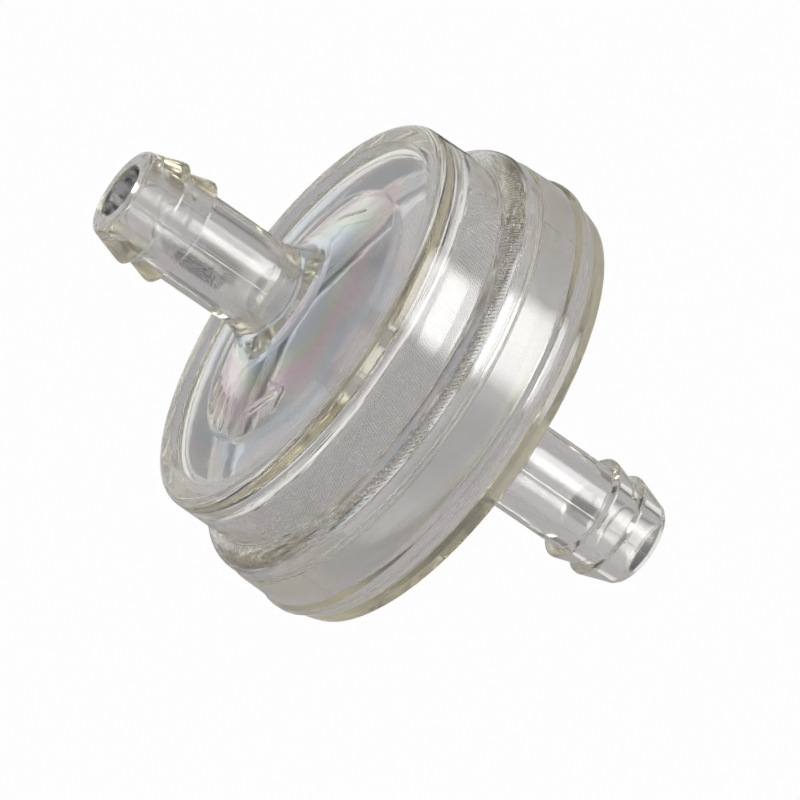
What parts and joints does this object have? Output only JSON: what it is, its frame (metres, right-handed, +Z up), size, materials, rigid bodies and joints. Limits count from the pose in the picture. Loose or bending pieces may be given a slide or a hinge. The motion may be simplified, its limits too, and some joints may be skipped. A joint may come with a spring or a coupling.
{
  "type": "inline fuel filter",
  "caption": "Clear inline fuel filter: round two-piece body with a woven screen across it and a barbed hose nipple on each end.",
  "frame": {"origin": "on the flow axis, midway between the two nipple tips", "axes": "+X along the flow, from the inlet nipple (-X) to the outlet nipple (+X); +Z up"},
  "size_m": [0.0482, 0.0366, 0.0366],
  "materials": {
    "clear_shell": "clear, faintly yellow, polished moulding",
    "screen": "fine woven nylon mesh",
    "weld": "melted and set clear plastic"
  },
  "bodies": {
    "root": {"inlet_shell": "clear_shell", "outlet_shell": "clear_shell", "filter_screen": "screen", "weld_bead": "weld"}
  },
  "joints": []
}
